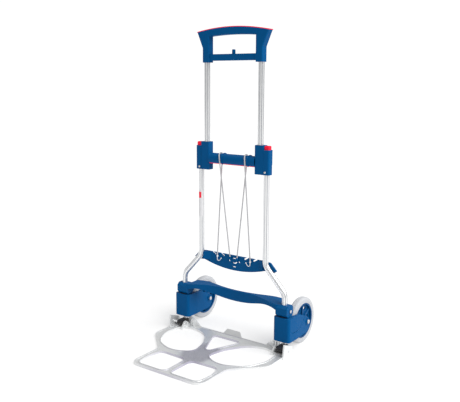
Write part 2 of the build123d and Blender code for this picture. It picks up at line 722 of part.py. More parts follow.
# large opening beside the middle rib, an egg of arcs that run into each other
leaf_corners = [(27, -188), (45, -112), (92, -40), (158, -20), (212, -40), (221, -112), (184, -188),
                (100, -225)]
leaf_bends = [36.0, 150.0, 90.0, 70.0, 44.0, 100.0, 90.0, 85.0]
with BuildSketch() as side_opening:
    with BuildLine():
        Polyline(*leaf_corners, close=True)
    make_face()
    for corner, bend in zip(leaf_corners, leaf_bends):
        fillet(side_opening.vertices().sort_by_distance(corner)[0], bend)

# triangular opening against the rear bar
with BuildSketch() as rear_opening:
    with BuildLine():
        Polyline((-62, -27), (62, -27), (0, -172), close=True)
    make_face()
    fillet(rear_opening.vertices(), 14.0)

with BuildSketch() as front_opening:
    with BuildLine():
        Polyline((10, -250), (119, -246), (131, -300), (124, -363), (9, -363), close=True)
    make_face()
    fillet(front_opening.vertices(), 22.0)

with BuildSketch() as plate_face:
    add(plate_outline.sketch)
    for opening in (side_opening, front_opening):
        add(opening.sketch, mode=Mode.SUBTRACT)
        add(opening.sketch.mirror(Plane.YZ), mode=Mode.SUBTRACT)
    add(rear_opening.sketch, mode=Mode.SUBTRACT)

with BuildSketch() as plate_field:
    add(offset(plate_outline.sketch, -lip_width, mode=Mode.PRIVATE))
    for opening in (side_opening, front_opening):
        grown = offset(opening.sketch, lip_width, mode=Mode.PRIVATE)
        add(grown, mode=Mode.SUBTRACT)
        add(grown.mirror(Plane.YZ), mode=Mode.SUBTRACT)
    add(offset(rear_opening.sketch, lip_width, mode=Mode.PRIVATE), mode=Mode.SUBTRACT)

with BuildPart() as toe_plate:
    add(plate_face.sketch)
    extrude(amount=plate_thickness)
    add(plate_field.sketch.moved(Location((0, 0, field_thickness))))
    extrude(amount=plate_thickness, mode=Mode.SUBTRACT)
    for side, s in SIDES:
        # outer wall beside the hinge
        with BuildSketch(side_plane(s * plate_side_x)):
            with BuildLine():
                Polyline((hinge_y - 34.0, 0), (hinge_y - 26.0, 50.0), (hinge_y + 24.0, 31.0),
                         (plate_rear_y, 18.0), (plate_rear_y, 0), close=True)
            make_face()
        extrude(amount=s * wall_thickness)
        # inner lug around the hinge pin
        with BuildSketch(side_plane(s * (pin_inner_x))):
            with Locations((hinge_y, hinge_z)):
                Circle(hinge_pin_dia / 2 + 6.0)
            with Locations((hinge_y + 4.0, plate_thickness / 2)):
                Rectangle(52.0, plate_thickness)
            make_hull()
        extrude(amount=s * lug_thickness)
        # rounded ear that rises along the rear edge to the lug, with upright ribs in front
        ear_end_x = pin_inner_x + lug_thickness
        with BuildSketch(Plane.XZ.offset(-plate_rear_y)):
            with BuildLine():
                Line((s * ear_start_x, plate_thickness - 2.0), (s * (ear_start_x + 12.0), plate_thickness + 2.0))
                ThreePointArc((s * (ear_start_x + 12.0), plate_thickness + 2.0),
                              (s * (ear_end_x - 24.0), ear_top_z - 6.0), (s * (ear_end_x - 8.0), ear_top_z))
                Polyline((s * (ear_end_x - 8.0), ear_top_z), (s * ear_end_x, ear_top_z),
                         (s * ear_end_x, plate_thickness - 2.0), (s * ear_start_x, plate_thickness - 2.0))
            make_face()
        extrude(amount=ear_thickness)
        for rib_x in (ear_end_x - 12.0, ear_end_x - 22.0):
            slab((s * rib_x, s * (rib_x - 3.0)), (plate_rear_y - ear_thickness - 4.0, plate_rear_y - 1.0),
                 (plate_thickness - 1.0, ear_top_z - 10.0))
        rod((s * pivot_x, hinge_y, hinge_z), hinge_pin_dia / 2 + seat_gap, 80.0, "X", Mode.SUBTRACT)
    # raised tab in the middle of the rear edge, leaning back
    tab_plane = Plane(origin=(0, plate_rear_y - 0.5, plate_thickness - 3.0), x_dir=(1, 0, 0),
                      z_dir=(0, -cos(radians(tab_lean)), sin(radians(tab_lean))))
    with BuildSketch(tab_plane):
        with BuildLine():
            Polyline((-tab_base_half, 0), (-tab_top_half, tab_height), (tab_top_half, tab_height),
                     (tab_base_half, 0), close=True)
        make_face()
    extrude(amount=ear_thickness)
save(toe_plate, "toe_plate")

# ---------------------------------------------------------------- handle
# the bow seen from the front, legs and flared corners included
with BuildSketch(Plane.XZ) as bow:
    with BuildLine():
        Polyline((leg_outer_x, leg_bottom_z), (leg_outer_x, flare_z),
                 (corner_x, arch_top - corner_drop))
        mirror(about=Plane.YZ)
        ThreePointArc((-corner_x, arch_top - corner_drop), (0, arch_top), (corner_x, arch_top - corner_drop))
        Line((-leg_outer_x, leg_bottom_z), (leg_outer_x, leg_bottom_z))
    make_face()

with BuildPart() as handle_grip:
    with BuildSketch(Plane.XZ):
        add(bow.sketch_local)
        with Locations((0, arch_centre_z)):
            Circle(arch_radius - grip_thickness, mode=Mode.SUBTRACT)
    extrude(amount=handle_depth / 2, both=True)
    fillet(handle_grip.faces().filter_by(Axis.Y).edges().group_by(Axis.Z)[-1], 1.6)
save(handle_grip, "handle_grip")

with BuildPart() as handle_frame:
    with BuildSketch(Plane.XZ) as shell:
        add(bow.sketch_local)
        fillet(shell.vertices().filter_by_position(Axis.Y, flare_z - 1, flare_z + 1), 10.0)
        with Locations((0, arch_centre_z)):
            Circle(arch_radius - grip_thickness - seat_gap, mode=Mode.INTERSECT)
        with BuildLine():
            Line((leg_inner_x, bar_top_z), (leg_inner_x, arch_top - arch_depth - 4.0))
            mirror(about=Plane.YZ)
            ThreePointArc((-leg_inner_x, arch_top - arch_depth - 4.0), (0, arch_top - arch_depth),
                          (leg_inner_x, arch_top - arch_depth - 4.0))
            Line((-leg_inner_x, bar_top_z), (leg_inner_x, bar_top_z))
        make_face(mode=Mode.SUBTRACT)
        with Locations((0, (leg_bottom_z + bar_bottom_z) / 2 - 5.0)):
            Rectangle(2 * leg_inner_x, bar_bottom_z - leg_bottom_z + 10.0, mode=Mode.SUBTRACT)
    extrude(amount=handle_depth / 2, both=True)
    bow_faces = handle_frame.faces().filter_by(Axis.Y).sort_by(Axis.Y)
    bow_edges = bow_faces[0].edges() + bow_faces[-1].edges()
    fillet(bow_edges.filter_by_position(Axis.Z, 0, arch_top - corner_drop - 6.0), handle_rounding)
    for side, s in SIDES:
        slab((-leg_inner_x, leg_inner_x), (s * bar_depth / 2, s * handle_depth),
             (bar_bottom_z - 1.0, bar_top_z + 1.0), Mode.SUBTRACT)
        rod((s * upper_tube_x, 0, leg_bottom_z + socket_depth / 2), tube_radius + seat_gap,
            socket_depth, mode=Mode.SUBTRACT)
        rod((s * upper_tube_x, handle_depth / 2, leg_bottom_z + 12.0), screw_shank / 2 + seat_gap,
            handle_depth / 2, "Y", Mode.SUBTRACT)
save(handle_frame, "handle_frame")

with BuildPart() as handle_hook:
    rod((0, 0, bar_top_z + hook_height / 2), hook_dia / 2, hook_height)
    fillet(handle_hook.faces().sort_by(Axis.Z)[-1].edges(), 3.0)
save(handle_hook, "handle_hook")

with BuildPart() as handle_screws:
    for side, s in SIDES:
        rod((s * upper_tube_x, handle_depth / 2 + screw_head_height / 2, leg_bottom_z + 12.0),
            screw_head / 2, screw_head_height, "Y")
        rod((s * upper_tube_x, (handle_depth / 2 + tube_bore) / 2, leg_bottom_z + 12.0),
            screw_shank / 2, handle_depth / 2 - tube_bore, "Y")
save(handle_screws, "handle_screws")
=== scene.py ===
"""Folding hand truck: the visible pieces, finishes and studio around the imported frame.

Metres, X across, Y towards the wheels, Z up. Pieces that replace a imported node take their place
from that node's box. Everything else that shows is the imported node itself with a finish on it.
"""

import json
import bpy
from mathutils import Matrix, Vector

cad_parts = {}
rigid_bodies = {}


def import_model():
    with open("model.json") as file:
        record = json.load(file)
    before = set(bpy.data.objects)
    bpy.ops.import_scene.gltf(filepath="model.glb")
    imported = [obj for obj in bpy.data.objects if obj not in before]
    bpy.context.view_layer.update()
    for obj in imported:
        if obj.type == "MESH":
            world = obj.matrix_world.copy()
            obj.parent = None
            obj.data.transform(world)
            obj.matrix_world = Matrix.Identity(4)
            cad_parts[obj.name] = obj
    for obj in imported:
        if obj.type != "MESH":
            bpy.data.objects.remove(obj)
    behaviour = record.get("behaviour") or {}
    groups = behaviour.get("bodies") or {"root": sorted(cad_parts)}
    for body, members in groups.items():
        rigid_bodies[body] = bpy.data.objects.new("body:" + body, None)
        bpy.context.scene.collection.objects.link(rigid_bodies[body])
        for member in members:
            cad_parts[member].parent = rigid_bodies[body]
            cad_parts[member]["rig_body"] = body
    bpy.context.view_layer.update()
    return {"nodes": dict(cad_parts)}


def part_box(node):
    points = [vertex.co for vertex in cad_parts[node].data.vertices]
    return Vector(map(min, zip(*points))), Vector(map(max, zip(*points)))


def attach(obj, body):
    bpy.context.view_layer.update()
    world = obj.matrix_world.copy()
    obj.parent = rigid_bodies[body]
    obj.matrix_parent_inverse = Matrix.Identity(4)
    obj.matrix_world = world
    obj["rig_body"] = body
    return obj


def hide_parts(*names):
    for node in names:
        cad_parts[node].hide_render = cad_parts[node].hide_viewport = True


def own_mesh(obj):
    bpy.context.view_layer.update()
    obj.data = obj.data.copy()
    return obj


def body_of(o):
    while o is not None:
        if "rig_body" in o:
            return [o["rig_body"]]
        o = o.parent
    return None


bl_info = {
    "name": "Folding Hand Truck",
    "version": (1, 0, 0),
    "blender": (4, 5, 0),
    "location": "View3D > Sidebar > Hand Truck",
    "description": "Builds the tubes, cords, tyres, fittings and finishes of a folding hand truck",
    "category": "Object",
}

from math import cos, pi, radians, sin, tan

import bmesh
import bpy
from mathutils import Matrix, Vector

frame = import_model()

SIDES = (("left", -1), ("right", 1))
MM = 0.001

# run of the cords: up from the inner foot, over the crossbar, down to the outer foot
CORD_FOOT_Y = 0.0055
CORD_FOOT_INNER_X = 0.015
CORD_FOOT_OUTER_X = 0.071
CORD_TOP_INNER_X = 0.045
CORD_TOP_OUTER_X = 0.062
CORD_TOP_Z = 0.67055
CORD_BEHIND_BAR = 0.02335
CORD_BELOW_BAR = 0.027

# textured cross in the middle of the toe plate, and the height of its cut edges
CROSS_Y = -0.190
CROSS_HALF_X = 0.068
CROSS_HALF_Y = 0.105
CUT_EDGE_TOP = (0.008, 0.0095)

# tints that the finishes mix in
# lighter blue laid on the edges of the blue parts: a painted highlight
BLUE_EDGE_HIGHLIGHT = (0.03, 0.21, 0.50)
WORN_RIM = (0.02, 0.13, 0.33)
WORN_RED = (0.95, 0.10, 0.12)
WORN_BLACK = (0.06, 0.06, 0.065)
WORN_WHITE = (0.9, 0.9, 0.9)
WORN_CAST = (0.52, 0.52, 0.54)
PLASTIC_DUST = (0.16, 0.24, 0.34)
METAL_DUST = (0.5, 0.5, 0.5)
# darker grey for the faces of the tube grooves: painted shade
GROOVE_SHADE_GREY = (0.54, 0.55, 0.59)
CUT_EDGE_TINT = (0.44, 0.42, 0.52)
SLEEVE_WHITE = (0.80, 0.81, 0.83)
LABEL_WHITE = (0.74, 0.74, 0.76)
WHITE_LIGHT = (1.0, 1.0, 1.0, 1.0)

# studio: where the sun comes from, and the camera's aim, distance and lens
SUN_FROM = (0.66, -0.02, 0.75)
BACKDROP_STRENGTH = 1.05
CAMERA_AIM = (0, 0, 0.55)
CAMERA_DISTANCE = 2.27795
CAMERA_AZIMUTH = 34.96
CAMERA_ELEVATION = 9.25
CAMERA_ROLL = 0.34
CAMERA_LENS = 51.08
CAMERA_SENSOR = 36.0
CAMERA_SHIFT = (-0.0065, -0.0283)


# ---------------------------------------------------------------- sizes and colours
def size_prop(name, description, default):
    return bpy.props.FloatProperty(name=name, description=description, default=default,
                                   min=0.0, precision=5, subtype="DISTANCE", unit="LENGTH")


def colour_prop(name, description, default):
    return bpy.props.FloatVectorProperty(name=name, description=description, default=default,
                                         size=3, min=0.0, max=1.0, subtype="COLOR")


def share_prop(name, description, default):
    return bpy.props.FloatProperty(name=name, description=description, default=default,
                                   min=0.0, max=1.0, subtype="FACTOR")


def count_prop(name, description, default):
    return bpy.props.IntProperty(name=name, description=description, default=default, min=1)


class HANDTRUCK_tubes(bpy.types.PropertyGroup):
    """Sizes of the fluted frame tubes"""
    wall: size_prop("Wall", "Thickness of the tube wall", 1.6 * MM)
    flutes: count_prop("Flutes", "Number of grooves around each tube", 8)
    flute_depth: size_prop("Flute depth", "Depth of each groove", 1.1 * MM)
    bend_upper: size_prop("Upper bend height", "Height of the upper corner of the lower tubes",
                          292 * MM)
    bend_lower: size_prop("Lower bend height", "Height of the lower corner of the lower tubes",
                          207 * MM)
    bend_radius: size_prop("Bend radius", "Centre-line radius of both bends", 45 * MM)


class HANDTRUCK_cords(bpy.types.PropertyGroup):
    """Sizes of the two elastic cords and their end fittings"""
    diameter: size_prop("Cord diameter", "Diameter of each elastic cord", 4.5 * MM)
    length: size_prop("Cord length", "Length of each cord from end to end", 779.3 * MM)
    foot_height: size_prop("Foot height", "Height where a cord enters its bead", 297 * MM)
    bead_radius: size_prop("Bead radius", "Radius of the bead that ends each cord", 4.4 * MM)
    hook_wire: size_prop("Hook wire", "Diameter of the hook wire", 2.4 * MM)


class HANDTRUCK_wheels(bpy.types.PropertyGroup):
    """Sizes of the tyres"""
    rim_radius: size_prop("Rim radius", "Radius of the rim that the tyre sits on", 62.25 * MM)
    shoulder: size_prop("Shoulder radius", "Rounding of the tyre's shoulders", 9 * MM)
    groove_depth: size_prop("Groove depth", "Depth of the grooves in the tread", 0.7 * MM)
    segments: count_prop("Segments", "Divisions around each tyre", 120)


class HANDTRUCK_fittings(bpy.types.PropertyGroup):
    """Sizes of springs, screws and the label"""
    spring_radius: size_prop("Spring radius", "Outer radius of a button spring", 5 * MM)
    spring_wire: size_prop("Spring wire", "Diameter of the spring wire", 1.2 * MM)
    spring_turns: count_prop("Spring turns", "Turns of each button spring", 5)
    screw_radius: size_prop("Screw radius", "Radius of the screw heads", 4 * MM)
    screw_height: size_prop("Screw height", "Height of the screw heads", 2 * MM)
    label_bottom: size_prop("Label bottom", "Height of the label's lower edge", 436 * MM)
    label_top: size_prop("Label top", "Height of the label's upper edge", 530 * MM)


class HANDTRUCK_finishes(bpy.types.PropertyGroup):
    """Colours of the finishes"""
    blue: colour_prop("Blue plastic", "Colour of the moulded blue parts", (0.0, 0.074, 0.225))
    red: colour_prop("Red plastic", "Colour of the grip and the strip", (0.93, 0.012, 0.045))
    tube: colour_prop("Tube aluminium", "Colour of the anodised tubes", (0.90, 0.92, 0.92))
    cast: colour_prop("Cast aluminium", "Colour of the toe plate", (0.82, 0.83, 0.83))
    cast_dark: colour_prop("Textured aluminium", "Colour of the textured cross of the toe plate",
                           (0.40, 0.40, 0.44))
    steel: colour_prop("Steel", "Colour of pins, bolts and screws", (0.66, 0.66, 0.67))
    black: colour_prop("Black plastic", "Colour of the dark moulded parts", (0.010, 0.010, 0.012))
    rubber: colour_prop("Rubber", "Colour of the tyres", (0.47, 0.48, 0.50))
    cord: colour_prop("Cord", "Colour of the braided cords", (0.52, 0.52, 0.54))
    # strength of the edge tint of the plastics and the cast plate: wear on most, a painted
    # highlight on the blue parts
    edge_wear_and_highlight: share_prop("Wear", "How much the edges are worn", 0.6)


class HANDTRUCK_stage(bpy.types.PropertyGroup):
    """Floor and light of the studio"""
    floor_half: size_prop("Floor half width", "Half the width of the floor", 9.0)
    floor_colour: colour_prop("Floor colour", "Colour of the floor", (0.45, 0.45, 0.45))
    ambient: bpy.props.FloatProperty(name="Ambient", description="Strength of the even white light",
                                     default=0.45, min=0.0)
    key: bpy.props.FloatProperty(name="Key", description="Strength of the broad key light",
                                 default=3.5, min=0.0)
    glow: bpy.props.FloatProperty(name="Floor glow", default=0.5, min=0.0,
                                  description="Light that the floor gives off itself")
    softness: bpy.props.FloatProperty(name="Softness", description="Width of the key light",
                                      default=radians(60), min=0.0, subtype="ANGLE",
                                      unit="ROTATION")


class HANDTRUCK_settings(bpy.types.PropertyGroup):
    """All the sizes and colours of the hand truck"""
    tubes: bpy.props.PointerProperty(type=HANDTRUCK_tubes, name="Tubes",
                                     description="Sizes of the frame tubes")
    cords: bpy.props.PointerProperty(type=HANDTRUCK_cords, name="Cords",
                                     description="Sizes of the cords")
    wheels: bpy.props.PointerProperty(type=HANDTRUCK_wheels, name="Wheels",
                                      description="Sizes of the tyres")
    fittings: bpy.props.PointerProperty(type=HANDTRUCK_fittings, name="Fittings",
                                        description="Sizes of springs, screws and the label")
    finishes: bpy.props.PointerProperty(type=HANDTRUCK_finishes, name="Finishes",
                                        description="Colours of the finishes")
    stage: bpy.props.PointerProperty(type=HANDTRUCK_stage, name="Stage",
                                     description="Floor and light")


def settings():
    """The hand truck's sizes and colours in the current scene."""
    return bpy.context.scene.hand_truck


# ---------------------------------------------------------------- shapes
def skin(rings, loop=False):
    """Points and faces of the surface through rings of equal length."""
    count = len(rings[0])
    points = [tuple(p) for ring in rings for p in ring]
    faces = []
    for i in range(len(rings) if loop else len(rings) - 1):
        a, b = i * count, (i + 1) % len(rings) * count
        for j in range(count):
            k = (j + 1) % count
            faces.append((a + j, a + k, b + k, b + j))
    if not loop:
        faces.append(tuple(range(count)))
        faces.append(tuple(range(len(points) - count, len(points))))
    return points, faces


def add_piece(name, surfaces, body, finish, sharp=35.0, sunk=None, groove_shade_finish=None):
    """A mesh piece from one or more surfaces, riding on a body with its slot and finish.

    sunk holds the faces in a ring and the places of those that take the second finish; on the tubes
    that is a darker grey in the grooves, painted shade.
    """
    bm = bmesh.new()
    for points, faces in surfaces:
        verts = [bm.verts.new(p) for p in points]
        for index, face in enumerate(faces):
            made = bm.faces.new([verts[i] for i in face])
            if sunk and index % sunk[0] in sunk[1]:
                made.material_index = 1
    bmesh.ops.recalc_face_normals(bm, faces=bm.faces)
    mesh = bpy.data.meshes.new(name)
    bm.to_mesh(mesh)
    bm.free()
    mesh.shade_smooth()
    mesh.set_sharp_from_angle(angle=radians(sharp))
    mesh.materials.append(finish)
    if groove_shade_finish:
        mesh.materials.append(groove_shade_finish)
    piece = bpy.data.objects.new(name, mesh)
    bpy.context.scene.collection.objects.link(piece)
    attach(piece, body)
    return piece


def basis(axis):
    """Two directions across an axis."""
    axis = Vector(axis).normalized()
    side = Vector((0, 0, 1)) if abs(axis.z) < 0.9 else Vector((0, 1, 0))
    u = axis.cross(side).normalized()
    return u, axis.cross(u)


def lathe(centre, axis, profile, segments, loop=False):
    """A surface turned about an axis from (radius, height) pairs.

    A radius may be a function of the angle.
    """
    u, v = basis(axis)
    axis = Vector(axis).normalized()
    rings = []
    for radius, height in profile:
        ring = []
        for i in range(segments):
            a = 2 * pi * i / segments
            r = radius(a) if callable(radius) else radius
            ring.append(Vector(centre) + axis * height + u * (r * cos(a)) + v * (r * sin(a)))
        rings.append(ring)
    return skin(rings, loop)


def wire(path, radius, segments=12):
    """A round wire along a run of points."""
    path = [Vector(p) for p in path]
    u = None
    rings = []
    for i, p in enumerate(path):
        run = (path[min(i + 1, len(path) - 1)] - path[max(i - 1, 0)]).normalized()
        u = basis(run)[0] if u is None else (u - run * u.dot(run)).normalized()
        v = run.cross(u)
        rings.append([p + (u * cos(2 * pi * j / segments) + v * sin(2 * pi * j / segments)) * radius
                      for j in range(segments)])
    return skin(rings)


def bent_line(corners, radius, steps=14):
    """A line with rounded corners in the XZ plane: points with the direction at each."""
    corners = [Vector(c) for c in corners]
    line = [(corners[0], (corners[1] - corners[0]).normalized())]
    for before, at, after in zip(corners, corners[1:], corners[2:]):
        d1, d2 = (at - before).normalized(), (after - at).normalized()
        turn = d1.angle(d2)
        start = at - d1 * (radius * tan(turn / 2))
        inward = (d2 - d1 * d1.dot(d2)).normalized()
        for k in range(steps + 1):
            a = turn * k / steps
            line.append((start + d1 * (radius * sin(a)) + inward * (radius * (1 - cos(a))),
                         d1 * cos(a) + inward * sin(a)))
    line.append((corners[-1], (corners[-1] - corners[-2]).normalized()))
    return line


# ---------------------------------------------------------------- shader groups
def new_group(name, inputs, outputs):
    """An empty shader group with named sockets, and its input and output nodes."""
    tree = bpy.data.node_groups.new(name, "ShaderNodeTree")
    for label, kind, default in inputs:
        tree.interface.new_socket(label, in_out="INPUT", socket_type=kind).default_value = default
    for label, kind in outputs:
        tree.interface.new_socket(label, in_out="OUTPUT", socket_type=kind)
    return tree, tree.nodes.new("NodeGroupInput"), tree.nodes.new("NodeGroupOutput")


def link(tree, source, target):
    """Joins an output socket to an input socket."""
    tree.links.new(source, target)


def put(tree, kind, **values):
    """A new node; its properties are set by name, its inputs by their socket's name."""
    node = tree.nodes.new(kind)
    for key, value in values.items():
        if hasattr(node, key):
            setattr(node, key, value)
        else:
            node.inputs[key.replace("_", " ")].default_value = value
    return node


def math_node(tree, operation, a, b=None, clamp=False):
    """One arithmetic step on sockets or numbers; returns its output socket."""
    node = put(tree, "ShaderNodeMath", operation=operation, use_clamp=clamp)
    for index, value in enumerate((a, b)):
        if value is None:
            continue
        if isinstance(value, (int, float)):
            node.inputs[index].default_value = value
        else:
            link(tree, value, node.inputs[index])
    return node.outputs[0]


def ramp(tree, value, low, high):
    """A smooth step of a value from 0 at low to 1 at high."""
    node = put(tree, "ShaderNodeMapRange", interpolation_type="SMOOTHSTEP")
    node.inputs["From Min"].default_value = low
    node.inputs["From Max"].default_value = high
    link(tree, value, node.inputs["Value"])
    return node.outputs["Result"]


def grain_group():
    """Fine moulded or cast grain with slow changes of tone."""
    if "Fine Grain" in bpy.data.node_groups:
        return bpy.data.node_groups["Fine Grain"]
    tree, entry, leave = new_group(
        "Fine Grain",
        [("Grain Scale", "NodeSocketFloat", 900.0), ("Cloud Scale", "NodeSocketFloat", 18.0)],
        [("Grain", "NodeSocketFloat"), ("Cloud", "NodeSocketFloat")])
    place = put(tree, "ShaderNodeTexCoord")
    for scale, out, detail in (("Grain Scale", "Grain", 3.0), ("Cloud Scale", "Cloud", 4.0)):
        noise = put(tree, "ShaderNodeTexNoise", Detail=detail, Roughness=0.55)
        link(tree, place.outputs["Object"], noise.inputs["Vector"])
        link(tree, entry.outputs[scale], noise.inputs["Scale"])
        link(tree, noise.outputs["Fac"], leave.inputs[out])
    return tree


def edge_group():
    """Mask of the outer edges, broken up by noise; it lays on wear, and on the blue parts a painted
    highlight.
    """
    if "Edge Wear and Highlight" in bpy.data.node_groups:
        return bpy.data.node_groups["Edge Wear and Highlight"]
    tree, entry, leave = new_group(
        "Edge Wear and Highlight",
        [("Width", "NodeSocketFloat", 0.001), ("Amount", "NodeSocketFloat", 0.4)],
        [("Mask", "NodeSocketFloat")])
    soft = put(tree, "ShaderNodeBevel", samples=6)
    link(tree, entry.outputs["Width"], soft.inputs["Radius"])
    hard = put(tree, "ShaderNodeNewGeometry")
    dot = put(tree, "ShaderNodeVectorMath", operation="DOT_PRODUCT")
    link(tree, soft.outputs["Normal"], dot.inputs[0])
    link(tree, hard.outputs["Normal"], dot.inputs[1])
    bend = math_node(tree, "SUBTRACT", 1.0, dot.outputs["Value"], clamp=True)
    place = put(tree, "ShaderNodeTexCoord")
    noise = put(tree, "ShaderNodeTexNoise", Scale=140.0, Detail=5.0)
    link(tree, place.outputs["Object"], noise.inputs["Vector"])
    broken = math_node(tree, "MULTIPLY", ramp(tree, bend, 0.02, 0.25),
                       ramp(tree, noise.outputs["Fac"], 0.35, 0.65))
    link(tree, math_node(tree, "MULTIPLY", broken, entry.outputs["Amount"], clamp=True),
         leave.inputs["Mask"])
    return tree


def dust_group():
    """Mask of faint dust that settles on upward faces."""
    if "Settled Dust" in bpy.data.node_groups:
        return bpy.data.node_groups["Settled Dust"]
    tree, entry, leave = new_group(
        "Settled Dust", [("Amount", "NodeSocketFloat", 0.1)], [("Mask", "NodeSocketFloat")])
    place = put(tree, "ShaderNodeTexCoord")
    split = put(tree, "ShaderNodeSeparateXYZ")
    link(tree, place.outputs["Normal"], split.inputs[0])
    noise = put(tree, "ShaderNodeTexNoise", Scale=60.0, Detail=6.0)
    link(tree, place.outputs["Object"], noise.inputs["Vector"])
    up = math_node(tree, "MULTIPLY", ramp(tree, split.outputs["Z"], 0.3, 1.0),
                   ramp(tree, noise.outputs["Fac"], 0.3, 0.8))
    link(tree, math_node(tree, "MULTIPLY", up, entry.outputs["Amount"], clamp=True),
         leave.inputs["Mask"])
    return tree


def scratch_group():
    """Fine lines drawn along one direction, as drawing or brushing leaves."""
    if "Drawn Lines" in bpy.data.node_groups:
        return bpy.data.node_groups["Drawn Lines"]
    tree, entry, leave = new_group(
        "Drawn Lines",
        [("Stretch", "NodeSocketVector", (900.0, 900.0, 6.0))],
        [("Lines", "NodeSocketFloat"), ("Smudge", "NodeSocketFloat")])
    place = put(tree, "ShaderNodeTexCoord")
    scale = put(tree, "ShaderNodeVectorMath", operation="MULTIPLY")
    link(tree, place.outputs["Object"], scale.inputs[0])
    link(tree, entry.outputs["Stretch"], scale.inputs[1])
    lines = put(tree, "ShaderNodeTexNoise", Scale=1.0, Detail=3.0)
    link(tree, scale.outputs["Vector"], lines.inputs["Vector"])
    smudge = put(tree, "ShaderNodeTexNoise", Scale=30.0, Detail=5.0)
    link(tree, place.outputs["Object"], smudge.inputs["Vector"])
    link(tree, lines.outputs["Fac"], leave.inputs["Lines"])
    link(tree, smudge.outputs["Fac"], leave.inputs["Smudge"])
    return tree


# ---------------------------------------------------------------- finishes
def shader(name, metallic=0.0, specular=0.5, coat=0.0):
    """A new material with its Principled shader and constant gloss values."""
    material = bpy.data.materials.new(name)
    material.use_nodes = True
    tree = material.node_tree
    surface = tree.nodes["Principled BSDF"]
    surface.inputs["Metallic"].default_value = metallic
    surface.inputs["Specular IOR Level"].default_value = specular
    surface.inputs["Coat Weight"].default_value = coat
    surface.inputs["Coat Roughness"].default_value = 0.25
    return material, tree, surface


def group_node(tree, group, **values):
    """A shader group placed in a material with its own values."""
    node = put(tree, "ShaderNodeGroup")
    node.node_tree = group
    for key, value in values.items():
        node.inputs[key.replace("_", " ")].default_value = value
    return node


def blend_colour(tree, mask, first, second):
    """A mix of two colours by a mask; each colour is a value or a socket."""
    mix = put(tree, "ShaderNodeMix", data_type="RGBA")
    link(tree, mask, mix.inputs["Factor"])
    for socket, colour in ((mix.inputs[6], first), (mix.inputs[7], second)):
        if isinstance(colour, bpy.types.NodeSocket):
            link(tree, colour, socket)
        else:
            socket.default_value = (*colour, 1.0)
    return mix.outputs[2]


def span(tree, value, low, high):
    """A 0 to 1 value stretched to run from low to high."""
    return math_node(tree, "ADD", math_node(tree, "MULTIPLY", value, high - low), low)


def bump(tree, surface, height, depth, strength=1.0):
    """Feeds a height, in units of depth, to the surface normal."""
    node = put(tree, "ShaderNodeBump", Strength=strength, Distance=depth)
    link(tree, height, node.inputs["Height"])
    link(tree, node.outputs["Normal"], surface.inputs["Normal"])


def shade(colour, factor):
    """A colour made darker or lighter by a factor."""
    return tuple(min(1.0, c * factor) for c in colour)


def plastic(name, colour, worn_and_highlit, roughness=(0.38, 0.52), grain=1100.0, depth=0.00005, dust=0.08,
            specular=0.5):
    """Moulded plastic with fine grain, tone changes, tinted edges and a little dust; the edge tint
    is wear, and on the blue parts a painted highlight.
    """
    material, tree, surface = shader(name, specular=specular)
    texture = group_node(tree, grain_group(), Grain_Scale=grain, Cloud_Scale=14.0)
    edges = group_node(tree, edge_group(), Width=0.0014, Amount=settings().finishes.edge_wear_and_highlight)
    dusty = group_node(tree, dust_group(), Amount=dust)
    base = blend_colour(tree, texture.outputs["Cloud"], shade(colour, 0.9), shade(colour, 1.1))
    # edge tint: wear on most plastics, a painted highlight on the blue parts
    base = blend_colour(tree, edges.outputs["Mask"], base, worn_and_highlit)
    base = blend_colour(tree, dusty.outputs["Mask"], base, PLASTIC_DUST)
    link(tree, base, surface.inputs["Base Color"])
    tone = math_node(tree, "MULTIPLY", math_node(tree, "ADD", texture.outputs["Grain"],
                                                 texture.outputs["Cloud"]), 0.5)
    link(tree, span(tree, tone, *roughness), surface.inputs["Roughness"])
    bump(tree, surface, texture.outputs["Grain"], depth)
    return material


def blue_plastic():
    """Matt blue of the moulded parts, with a lighter blue on the edges as a painted highlight."""
    return plastic("Blue plastic", settings().finishes.blue, BLUE_EDGE_HIGHLIGHT, specular=0.05)


def rim_plastic():
    """A slightly darker, smoother blue for the rims."""
    return plastic("Rim plastic", shade(settings().finishes.blue, 0.9), WORN_RIM, grain=700.0,
                   depth=0.00003, specular=0.12)


def red_plastic():
    """Red of the grip, the strip and the release buttons."""
    return plastic("Red plastic", settings().finishes.red, WORN_RED, roughness=(0.42, 0.55),
                   dust=0.03, specular=0.12)


def black_plastic():
    """Dark plastic of the feet, bushes and plugs."""
    return plastic("Black plastic", settings().finishes.black, WORN_BLACK)


def bead_plastic():
    """Off-white plastic of the outer sleeves and the hooks of the cords."""
    return plastic("Bead plastic", SLEEVE_WHITE, WORN_WHITE, dust=0.02)


def groove_shade_aluminium():
    """Painted shade: a darker grey on the faces of the grooves in the tubes."""
    return tube_aluminium("Painted groove shade", GROOVE_SHADE_GREY)


def tube_aluminium(name="Tube aluminium", colour=None):
    """Anodised drawn tube with lines along its length."""
    colour = colour or settings().finishes.tube
    material, tree, surface = shader(name, metallic=0.92)
    lines = group_node(tree, scratch_group(), Stretch=(1300.0, 1300.0, 9.0))
    dusty = group_node(tree, dust_group(), Amount=0.1)
    base = blend_colour(tree, lines.outputs["Lines"], shade(colour, 0.86), shade(colour, 1.12))
    base = blend_colour(tree, dusty.outputs["Mask"], base, METAL_DUST)
    link(tree, base, surface.inputs["Base Color"])
    tone = math_node(tree, "MULTIPLY", math_node(tree, "ADD", lines.outputs["Lines"],
                                                 lines.outputs["Smudge"]), 0.5)
    link(tree, span(tree, tone, 0.22, 0.42), surface.inputs["Roughness"])
    bump(tree, surface, lines.outputs["Lines"], 0.00004)
    return material


